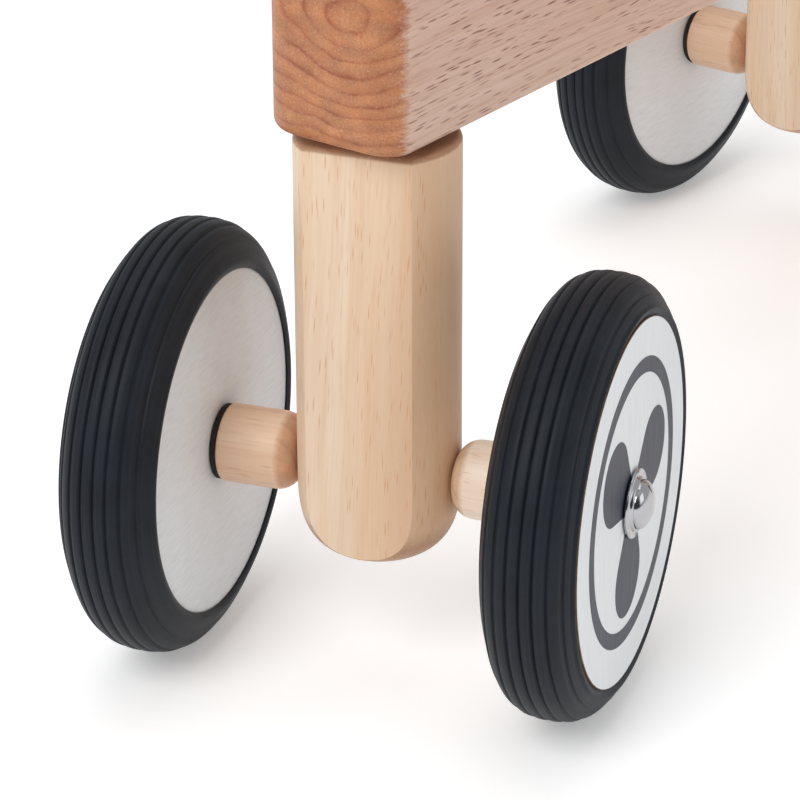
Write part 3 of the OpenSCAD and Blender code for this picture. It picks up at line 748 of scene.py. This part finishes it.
def crosspiece(material, edge=3.2, bolt_clear=0.15, bolt_sink=4.2):
    """The rear crosspiece: half-round ends over the legs, and two counterbores at its back."""
    lo, hi = low("rear_crosspiece"), high("rear_crosspiece")
    r = size("rear_crosspiece").y / 2
    bm = loft([stadium(leg_x, r - inset, z, rear_y) for z, inset in eased_levels(lo.z, hi.z, edge, 8)])
    made = piece("rear_crosspiece_body", bm, ROW, "frame", material, ["rear_crosspiece"])
    head_r = size("crosspiece_bolts").x / 2
    zs = [low("crosspiece_bolts").z + head_r, high("crosspiece_bolts").z - head_r]
    carve(made, *[drill((0, rear_y + r + 1, z), (0, -1, 0), head_r + bolt_clear, bolt_sink) for z in zs])


# ---- Seat ----

def seat_outline(inset, count=160, nose_width=0.45, nose_share=0.17, flare_start=0.1, flare_share=0.6,
                 tail_share=0.2, tail_power=2.6):
    """Points of the seat's plan, moved in by an inset: a round nose that flares to a broad back."""
    lo, hi = low("seat_board"), high("seat_board")
    length, half = hi.y - lo.y, size("seat_board").x / 2
    nose_half = nose_width * half
    right = []
    for i in range(count + 1):
        s = (1 - math.cos(math.pi * i / count)) / 2
        k = min(max((s - flare_start) / flare_share, 0), 1)
        ahead = max(1 - s / nose_share, 0)
        past = max(s - (1 - tail_share), 0) / tail_share
        nose = math.sqrt(max(1 - ahead ** 2, 0))
        tail = max(1 - past ** tail_power, 0) ** (1 / tail_power)
        width = (nose_half + (half - nose_half) * k * k * (3 - 2 * k)) * nose * tail
        right.append(Vector((width, lo.y + length * s)))
    ring = right + [Vector((-p.x, p.y)) for p in reversed(right[1:-1])]
    even = spaced(ring, 2 * count)
    moved = []
    for i, p in enumerate(even):
        across = (even[(i + 1) % len(even)] - even[i - 1]).normalized()
        moved.append(p + inset * Vector((-across.y, across.x)))
    return moved


def spaced(ring, count):
    """Points at equal distances round a closed ring."""
    lengths = [(ring[(i + 1) % len(ring)] - ring[i]).length for i in range(len(ring))]
    step, made, i, passed = sum(lengths) / count, [], 0, 0.0
    for k in range(count):
        while passed + lengths[i] < k * step - 1e-9:
            passed += lengths[i]
            i += 1
        share = (k * step - passed) / lengths[i] if lengths[i] else 0
        made.append(ring[i].lerp(ring[(i + 1) % len(ring)], min(max(share, 0), 1)))
    return made


def seat_board(material, edge=3.5):
    """The wooden board under the pad, with round edges."""
    levels = eased_levels(low("seat_board").z, high("seat_board").z, edge, 6)
    bm = loft([[(p.x, p.y, z) for p in seat_outline(inset)] for z, inset in levels])
    piece("seat_board_body", bm, ROW, "frame", material, ["seat_board"])


def pad_blank(inset, crown, rows=18, turn_in=6, crown_power=2.2, closing=0.94, centre_back=18):
    """The pad before it is stuffed: straight sides that turn over into a low crown."""
    base, top = low("seat_pad").z, high("seat_pad").z
    centre = Vector((0, middle("seat_board").y + centre_back))
    rings = []
    for k in range(rows + 1):
        share = k / rows
        t = math.pi / 2 * min(share / 0.5, 1)
        shrink = max((share - 0.5) / 0.5, 0)
        z = base + (top - crown - base) * math.sin(t) + crown * (1 - (1 - shrink) ** crown_power)
        outline = seat_outline(inset + turn_in * (1 - math.cos(t)))
        rings.append([(*p.lerp(centre, closing * shrink), z) for p in outline])
    return loft(rings)


def inflate(obj, base_z, cap_mm, voxel=5, held_height=4, pressure=4, frames=20):
    """Stuffs the pad: a short pressure simulation with the bottom held, its travel capped."""
    remesh = obj.modifiers.new("remesh", "REMESH")
    remesh.mode = "VOXEL"
    remesh.voxel_size = voxel * MM
    settle(obj)
    start = [v.co.copy() for v in obj.data.vertices]
    held = obj.vertex_groups.new(name="held")
    below = [v.index for v in obj.data.vertices if v.co.z < (base_z + held_height) * MM]
    held.add(below, 1.0, "REPLACE")
    cloth = obj.modifiers.new("cloth", "CLOTH")
    cloth.settings.use_pressure = True
    cloth.settings.uniform_pressure_force = pressure
    cloth.settings.vertex_group_mass = "held"
    cloth.settings.effector_weights.gravity = 0
    scene = bpy.context.scene
    for number in range(1, frames + 1):
        scene.frame_set(number)
    settle(obj)
    scene.frame_set(1)
    for vertex, before in zip(obj.data.vertices, start):
        moved = vertex.co - before
        if moved.length > cap_mm * MM:
            vertex.co = before + moved.normalized() * cap_mm * MM


def seat_pad(material, thread_material):
    """The stuffed pad with its piping and stitches."""
    base = low("seat_pad").z
    made = finish("seat_cushion", pad_blank(inset=5.5, crown=7.0), ROW, [material])
    inflate(made, base, cap_mm=5.0)
    soft = made.modifiers.new("soften", "SMOOTH")
    soft.iterations = 6
    fine = made.modifiers.new("fine", "SUBSURF")
    fine.levels = fine.render_levels = 1
    settle(made)
    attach(made, "frame")
    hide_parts("seat_pad")
    piping(material, base)
    stitches(thread_material, base + 6.5)


def piping(material, z, r=2.3, inset=3.6, sides=14):
    """The corded seam where the cover meets the board."""
    ring = seat_outline(inset, 120)
    rings = []
    for i, p in enumerate(ring):
        along = (ring[(i + 1) % len(ring)] - ring[i - 1]).normalized()
        out = Vector((along.y, -along.x))
        rings.append([(p.x + out.x * r * math.cos(t), p.y + out.y * r * math.cos(t), z + r + r * math.sin(t))
                      for t in [2 * math.pi * k / sides for k in range(sides)]])
    points = [p for loop in rings for p in loop]
    faces, n = [], len(rings)
    for k in range(n):
        for i in range(sides):
            a, b = k * sides, (k + 1) % n * sides
            j = (i + 1) % sides
            faces.append((a + i, a + j, b + j, b + i))
    piece("seat_piping", solid(points, faces), ROW, "frame", material)


def stitches(material, z, inset=3.1, pitch=4.2, length=2.9, r=0.45):
    """A row of stitches round the pad, just above the piping."""
    ring = seat_outline(inset, 120)
    around = sum((ring[(i + 1) % len(ring)] - p).length for i, p in enumerate(ring))
    bm = bmesh.new()
    for p, q in zip(*stitch_ends(ring, around, pitch, length)):
        along = q - p
        capsule = revolve([(-r, 0)] + arc((0, 0), r, 150, 90, 3) + arc((along.length, 0), r, 90, 30, 3)
                          + [(along.length + r, 0)], "x", 8)
        turn = Matrix.Rotation(math.atan2(along.y, along.x), 4, "Z")
        bmesh.ops.transform(capsule, matrix=Matrix.Translation((p.x, p.y, z)) @ turn, verts=capsule.verts)
        merge(bm, capsule)
    piece("seat_stitches", bm, ROW, "frame", material)


def stitch_ends(ring, around, pitch, length):
    """Where each stitch starts and ends round a closed ring."""
    count = int(around / pitch)
    starts = spaced(ring, count)
    ends = [p + (starts[(i + 1) % count] - p).normalized() * length for i, p in enumerate(starts)]
    return starts, ends


# ---- Axles, spacers, washers and caps ----

def spacer(name, place, start, end, material, body, stands_for, round_edge=6.2, sharp_edge=0.7):
    """A turned wooden spacer: well rounded beside its post and nearly square beside the washer."""
    r = spacer_r
    outline = [(start, 0), (start, r - round_edge)]
    outline += arc((start + round_edge, r - round_edge), round_edge, 180, 90, 9)[1:]
    outline += [(start + (end - start) * s, r) for s in (0.55, 0.75)]
    outline += arc((end - sharp_edge, r - sharp_edge), sharp_edge, 90, 0, 4) + [(end, 0)]
    piece(name, revolve(outline), place, body, material, stands_for)


def stretcher(material, edge=1.2):
    """The turned bar between the rear legs."""
    half = size("rear_stretcher").x / 2
    outline = [(-half, 0)] + arc((-half + edge, spacer_r - edge), edge, 180, 90, 4)
    outline += [(x, spacer_r) for x in (-half / 2, 0, half / 2)]
    outline += arc((half - edge, spacer_r - edge), edge, 90, 0, 4) + [(half, 0)]
    piece("rear_stretcher_body", revolve(outline), REAR_AXLE, "frame", material,
          ["rear_stretcher"])


def washer(name, place, start, thick, material, body, stands_for, edge=0.45, raggedness=0.012):
    """A rubber washer with a slightly uneven rim."""
    end, bore = start + thick, axle_r + HOLE_CLEAR
    outline = [(start, bore)] + arc((start + edge, washer_r - edge), edge, 180, 90, 3)
    outline += arc((end - edge, washer_r - edge), edge, 90, 0, 3) + [(end, bore)]
    bm = revolve(outline, "x", 96, hollow=True)
    for v in bm.verts:
        rough = noise.noise(v.co * 0.9)
        if v.co.yz.length > washer_r - 0.7:
            v.co.yz *= 1 + raggedness * rough
    piece(name, bm, place, body, material, stands_for)


def axle_cap(name, place, start, material, body, stands_for, rim_r=0.62):
    """A pressed steel cap: a rolled flange, a shallow dish, a collar and a low dome."""
    height = size("rear_axle_cap_left").x
    collar_r = 0.76 * cap_r
    rim = arc((start + rim_r, cap_r - rim_r), rim_r, 180, 0, 10)
    dish = curve([rim[-1], (start + 0.95, cap_r - 1.3), (start + 0.85, collar_r + 0.5),
                  (start + 1.15, collar_r + 0.1), (start + 1.7, collar_r - 0.15),
                  (start + 2.0, collar_r - 0.5)])
    dome_start, dome_r = dish[-1]
    rise = start + height - dome_start
    dome = [(dome_start + rise * math.sin(t), dome_r * math.cos(t)) for t in quarter(18)[1:-1]]
    outline = [(start, axle_r + 0.2)] + rim + dish[1:] + dome + [(start + height, 0)]
    piece(name, revolve(outline, "x", 96), place, body, material, stands_for)


def axle_set(where, axle, half_track, post_x, body, materials, washer_gap=0.15, cap_gap=0.3):
    """Everything on an axle outside its posts, on both sides."""
    washer_t = size("rear_washer_left").x
    washer_start = half_track - disc_t / 2 - washer_gap - washer_t
    cap_start = half_track + disc_t / 2 + cap_gap
    for name, side in SIDES.items():
        place = facing(axle, side, 0)
        nodes = [f"{where}_{part}_{name}" for part in ("spacer", "washer", "axle_cap")]
        spacer(nodes[0] + "_body", place, post_x + HOLE_CLEAR, washer_start, materials["spacer_" + name],
               body, nodes[:1])
        washer(nodes[1] + "_body", place, washer_start, washer_t, materials["washer"], body, nodes[1:2])
        axle_cap(nodes[2] + "_body", place, cap_start, materials["cap"], body, nodes[2:])


# ---- Wheels ----

GROOVES = 7
GROOVE_PITCH = 3.6
GROOVE_DEPTH = 0.85
GROOVE_HALF = 0.6


def rib_drop(x):
    """Depth of the tread below its crown line: convex ribs that meet in narrow grooves."""
    nearest = round(x / GROOVE_PITCH)
    off = abs(x - nearest * GROOVE_PITCH)
    last = (GROOVES - 1) / 2
    if abs(nearest) > last:
        return 0.0
    outer = abs(nearest) == last and abs(x) > last * GROOVE_PITCH
    near = max(1 - off / (0.5 * GROOVE_PITCH), 0)
    cut = max(1 - off / GROOVE_HALF, 0)
    return GROOVE_DEPTH * (cut if outer else 0.35 * near ** 2 + 0.65 * cut)


def tyre_outline(side_r=45.0, power=2.6, count=320):
    """Closed outline of the tyre on its disc, from the inner bead over the tread to the outer bead."""
    half = disc_t / 2
    tread = []
    for i in range(count + 1):
        t = math.pi * (1 - i / count)
        c, s = math.cos(t), math.sin(t)
        x = tyre_w / 2 * math.copysign(abs(c) ** (2 / power), c)
        r = side_r + (tyre_r - side_r) * s ** (2 / power)
        if r > disc_r + 3:
            tread.append((x, r - rib_drop(x)))
    inner = curve([(-half + 1.9, disc_r), (-half, disc_r - 1.95), (-half - 0.5, disc_r - 2.2),
                   (-half - 0.95, disc_r - 0.2), tread[0]])
    outer = curve([tread[-1], (half + 0.25, disc_r + 2.4), (half - 0.3, disc_r + 0.9), (half - 0.6, disc_r)])
    return inner[:-1] + tread + outer[1:]


def curve(points, steps=5):
    """A smooth line through points."""
    made = []
    for i in range(len(points) - 1):
        a, b = Vector(points[i]), Vector(points[i + 1])
        before = Vector(points[i - 1]) if i else a
        after = Vector(points[i + 2]) if i + 2 < len(points) else b
        for k in range(steps):
            t = k / steps
            made.append(0.5 * (2 * a + (b - before) * t + (2 * before - 5 * a + 4 * b - after) * t * t
                               + (3 * a - before - 3 * b + after) * t ** 3))
    made.append(Vector(points[-1]))
    return [tuple(p) for p in made]


def disc_mesh():
    """The plywood disc: painted faces, a bevel at the inner face and a burnt, square outer edge."""
    half, bevel_w = disc_t / 2, 1.95
    outline = [(-half, 0), (-half, 12), (-half, disc_r - bevel_w - 0.2), (-half + 0.1, disc_r - bevel_w),
               (-half + bevel_w, disc_r), (half - 1.5, disc_r), (half - 0.12, disc_r), (half, disc_r - 0.14),
               (half, 30), (half, 0)]
    bm = revolve(outline, "x", 160)
    for face in bm.faces:
        centre = face.calc_center_median()
        face.material_index = 1 if centre.yz.length > disc_r - 0.3 and centre.x > 0 else 0
    return bm


PRINT_T = 0.06


def flat_shape(outline, x):
    """A thin printed shape on the disc's outer face, from points of (y, z)."""
    return loft([[(x + dx, y, z) for y, z in outline] for dx in (0, PRINT_T)])


def ring_print(x, r0=36.3, r1=40.8):
    """The printed ring on the disc's outer face."""
    outline = [(x, r0), (x + PRINT_T, r0), (x + PRINT_T, r1), (x, r1)]
    return revolve(outline, "x", 160, hollow=True)


def paddle(angle, lobe_at=21.4, lobe_r=11.8, root=3.0):
    """A drop-shaped paddle from the hub to a round lobe."""
    lean = math.degrees(math.asin((lobe_r - root) / (lobe_at - 2)))
    points = arc((lobe_at, 0), lobe_r, -90 - lean, 90 + lean, 36)
    points += arc((2, 0), root, 90 + lean, 270 - lean, 6)
    c, s = math.cos(angle), math.sin(angle)
    return [(a * c - b * s, a * s + b * c) for a, b in points]


def print_mesh(side, x, paddles=3, first=22):
    """The whole print of one wheel; the paddles of the two sides mirror each other."""
    bm = ring_print(x)
    start = first * side + (0 if side > 0 else 180)
    for k in range(paddles):
        merge(bm, flat_shape(paddle(math.radians(start + 360 / paddles * k)), x))
    return bm


def wheel(where, name, axle, half_track, materials):
    """A wheel: its tyre, its disc and its print."""
    tag = f"{where}_{name}"
    body = "wheel_" + tag
    place = facing(axle, SIDES[name], half_track)
    piece(f"{tag}_tyre_body", revolve(tyre_outline(), "x", 180, hollow=True), place, body,
          materials["tyre"], [f"{tag}_tyre"])
    piece(f"{tag}_disc_body", disc_mesh(), place, body, [materials["disc"], materials["edge"]],
          [f"{tag}_disc"])
    piece(f"{tag}_print", print_mesh(SIDES[name], disc_t / 2), place, body, materials["print"])


# ---- Handlebar ----

# The radius the bar is drawn at. The head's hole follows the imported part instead.
DRAWN_BAR_R = 11.0


def handlebar(material, edge=1, edge_drop=2):
    """The turned wooden bar."""
    half = along_bar("handlebar") / 2
    outline = [(-half, 0), (-half, DRAWN_BAR_R - edge_drop)]
    outline += [(x, DRAWN_BAR_R) for x in (-half + edge, -half / 2, 0, half / 2, half - edge)]
    outline += [(half, DRAWN_BAR_R - edge_drop), (half, 0)]
    place = FORK @ Matrix.Translation((0, 0, bar_z * MM))
    piece("handlebar_body", revolve(outline, "x", 96), place, "fork", material, ["handlebar"])


def grip(name, side, material, length=84.0, sleeve_r=13.2, ribs=10, pitch=6.4, rib_h=0.9):
    """A moulded grip: a guard collar, a ribbed sleeve and a rounded end."""
    end = along_bar("handlebar") / 2 + 3
    start = end - length
    collar_r = size("grip_left").z / 2
    outline = [(start, 0), (start, DRAWN_BAR_R), (start, collar_r - 2)]
    outline += arc((start + 2, collar_r - 2), 2, 180, 90, 4) + arc((start + 4, collar_r - 2), 2, 90, 0, 4)
    outline += [(start + 6, sleeve_r + 1), (start + 7.5, sleeve_r)]
    for i in range(ribs):
        x = start + 10 + i * pitch
        outline += [(x + pitch * s, sleeve_r + rib_h * math.sin(math.pi * s / 0.72) ** 0.6)
                    for s in (0.04, 0.12, 0.24, 0.36, 0.48, 0.6, 0.68)]
        outline.append((x + pitch * 0.8, sleeve_r))
    outline += arc((end - 5, sleeve_r - 4.6), 5, 82, 0, 8) + [(end, 0)]
    place = facing(FORK @ Matrix.Translation((0, 0, bar_z * MM)), side, 0)
    piece(f"grip_{name}_body", revolve(outline, "x", 96), place, "fork", material,
          [f"grip_{name}"])


# ---- The bike ----

def build_woodwork():
    """The posts, the beams, the seat and the handlebar."""
    front_post(wood("post_wood_front", "z", 1, pith=(8, 46), lean=-2.0, heart_share=0.75, **PALE))
    for k, (name, side) in enumerate(SIDES.items()):
        rear_leg(name, side, wood(f"post_wood_rear_{name}", "z", 5 + 3 * k, pith=(-20, 30), **PALE))
    handlebar_head(wood("post_wood_head", "z", 12, pith=(25, 18), **PALE))
    main_beam(wood("beam_wood", "y", 0, ring_gap=4.0, ring_share=0.8, side_rings=0.2, ring_squash=0.6,
                   pith=(8.5, -203.0), wobble=14.0, end_depth=0.9, **RED_FLECKS, **RED))
    plugs(wood("plug_wood", "x", 9, **PEACH))
    crosspiece(wood("crosspiece_wood", "x", 4, wobble=14.0, **RED_FLECKS, **RED))
    stretcher(wood("stretcher_wood", "x", 7, **PEACH))
    seat_board(wood("seat_wood", "y", 6, ring_gap=7.0, **PALE))
    seat_pad(leather("seat_cover", tint(62, 64, 68), tint(38, 39, 42)), thread("seat_thread"))
    handlebar(wood("handlebar_wood", "x", 8, **PALE))
    grip_rubber = rubber("grip_rubber", tint(28, 29, 31), tint(40, 41, 44), 0.58, 0.35)
    for name, side in SIDES.items():
        grip(name, side, grip_rubber)


def build_running_gear():
    """Both axles with their spacers, washers, caps and wheels."""
    # The tyre rubber's last argument, 1.0, paints the lighter highlight lines round the tread.
    wheels = dict(tyre=rubber("tyre_rubber", tint(22, 26, 32), tint(36, 41, 49), 0.46, 0.25, 1.0),
                  disc=painted_wood("disc_paint", tint(230, 233, 236), tint(202, 202, 200), 0.35),
                  edge=cut_plywood("cut_plywood"),
                  print=painted_wood("disc_print", tint(48, 53, 67), tint(28, 31, 41), 0.9))
    fittings = dict(washer=rubber("washer_rubber", tint(42, 36, 35), tint(60, 54, 52), 0.85, 0.8),
                    cap=metal("polished_steel", tint(182, 182, 186), 0.10, 0.2))
    for where, axle, half_track, post_x, body in (
            ("front", FRONT_AXLE, front_half_track, post_r, "fork"),
            ("rear", REAR_AXLE, rear_half_track, leg_x + post_r, "frame")):
        woods = dict(spacer_left=wood(f"spacer_wood_{where}_left", "x", 2, **CREAM),
                     spacer_right=wood(f"spacer_wood_{where}_right", "x", 3, **PEACH))
        axle_set(where, axle, half_track, post_x, body, dict(**fittings, **woods))
        for name in SIDES:
            wheel(where, name, axle, half_track, wheels)


def cover_cad_nodes():
    """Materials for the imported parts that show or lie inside: bushes, dowels and steel."""
    plastic = nylon("nylon")
    plated = metal("plated_steel", tint(196, 196, 198), 0.26, 0.6)
    dowel_wood = wood("dowel_wood", "y", 11, **PEACH)
    for name, node in frame["nodes"].items():
        node.data.materials.clear()
        node.data.materials.append(plastic if "bush" in name else dowel_wood if "dowel" in name else plated)


# ---- Studio ----

def area_light(name, place, target, width, height, power, colour=(1, 1, 1)):
    """A soft rectangular lamp that faces a target; its lengths are in metres."""
    light = bpy.data.lights.new(name, "AREA")
    light.shape = "RECTANGLE"
    light.size, light.size_y = width, height
    light.energy = power
    light.color = colour
    made = bpy.data.objects.new(name, light)
    bpy.context.scene.collection.objects.link(made)
    made.location = place
    made.rotation_euler = (Vector(target) - Vector(place)).to_track_quat("-Z", "Y").to_euler()


def studio(floor_r=9000, floor_t=1, floor_drop=0.1):
    """A pale floor, a soft key ahead, a fill at the bike's left, a light above and a bright room."""
    slab = revolve([(0, 0), (0, floor_r), (-floor_t, floor_r), (-floor_t, 0)], "z", 96)
    floor = finish("floor", slab, ROW, [floor_paint("floor")])
    floor.location.z = -floor_drop * MM
    area_light("key", (0.1, -1.9, 1.75), (0, 0, 0.12), 1.2, 1.2, 26)
    area_light("fill", (2.0, 0.2, 1.0), (0, 0, 0.15), 1.2, 1.2, 5, (0.94, 0.97, 1.0))
    area_light("top", (-0.4, 0.3, 2.2), (0, 0, 0.1), 1.6, 1.6, 8)
    bpy.context.scene.world = room()
    bpy.context.scene.view_settings.view_transform = "Standard"


def room():
    """A white room whose wall on the camera's side is dark."""
    world = bpy.data.worlds.new("studio")
    world.use_nodes = True
    tree = world.node_tree
    coords = tree.nodes.new("ShaderNodeTexCoord")
    toward = tree.nodes.new("ShaderNodeVectorMath")
    toward.operation = "DOT_PRODUCT"
    toward.inputs[1].default_value = (0.60, -0.80, 0.02)
    tree.links.new(coords.outputs["Generated"], toward.inputs[0])
    wall = tree.nodes.new("ShaderNodeValToRGB")
    wall.color_ramp.elements[0].position = 0.45
    wall.color_ramp.elements[0].color = (1, 1, 1, 1)
    wall.color_ramp.elements[1].position = 0.8
    wall.color_ramp.elements[1].color = (0.10, 0.10, 0.11, 1)
    tree.links.new(toward.outputs["Value"], wall.inputs[0])
    tree.links.new(wall.outputs[0], tree.nodes["Background"].inputs["Color"])
    tree.nodes["Background"].inputs["Strength"].default_value = 0.6
    return world


def camera():
    """The camera at the photograph's angle, aimed near the front axle."""
    azimuth, elevation, roll = math.radians(36.59), math.radians(25.05), math.radians(-0.22)
    distance, aside, above = 1.0306, 0.0057, 0.018
    back = Vector((math.sin(azimuth) * math.cos(elevation), -math.cos(azimuth) * math.cos(elevation),
                   math.sin(elevation)))
    right = Vector((math.cos(azimuth), math.sin(azimuth), 0))
    up = back.cross(right)
    right, up = (math.cos(roll) * right + math.sin(roll) * up, math.cos(roll) * up - math.sin(roll) * right)
    place = Vector((0, steer_y, axle_z)) * MM + back * distance + right * aside + up * above
    lens = bpy.data.cameras.new("camera")
    lens.lens = 165.7
    made = bpy.data.objects.new("camera", lens)
    bpy.context.scene.collection.objects.link(made)
    made.matrix_world = Matrix.Translation(place) @ Matrix((right, up, back)).transposed().to_4x4()
    bpy.context.scene.camera = made


build_woodwork()
build_running_gear()
cover_cad_nodes()
studio()
camera()
